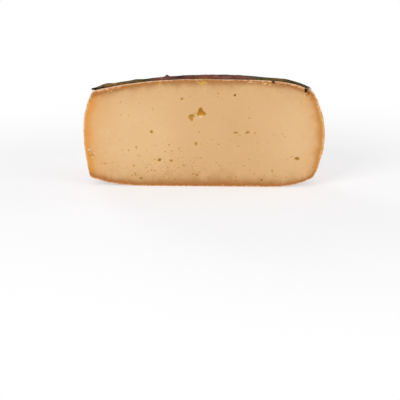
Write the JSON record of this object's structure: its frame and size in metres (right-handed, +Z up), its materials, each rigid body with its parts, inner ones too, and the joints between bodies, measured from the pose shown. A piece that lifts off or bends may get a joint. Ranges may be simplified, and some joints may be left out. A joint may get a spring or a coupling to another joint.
{
  "type": "fromadzo half wheel",
  "caption": "Half wheel of semi-hard mountain cheese on its base, with a domed top, bulging rind, round eyes in the cut face and a paper label cut through with it.",
  "frame": {"origin": "on the resting plane, midway between the cut face and the back of the wheel, under the wheel's axis", "axes": "+Z up, +X along the cut face to the right as seen from the front, +Y from the cut face into the cheese"},
  "size_m": [0.2413, 0.1206, 0.109],
  "materials": {
    "cheese": "pale straw cheese paste with a dry pinkish tan rind",
    "label": "printed paper stuck to the rind"
  },
  "bodies": {
    "root": {"cheese": "cheese", "label": "label"}
  },
  "joints": []
}
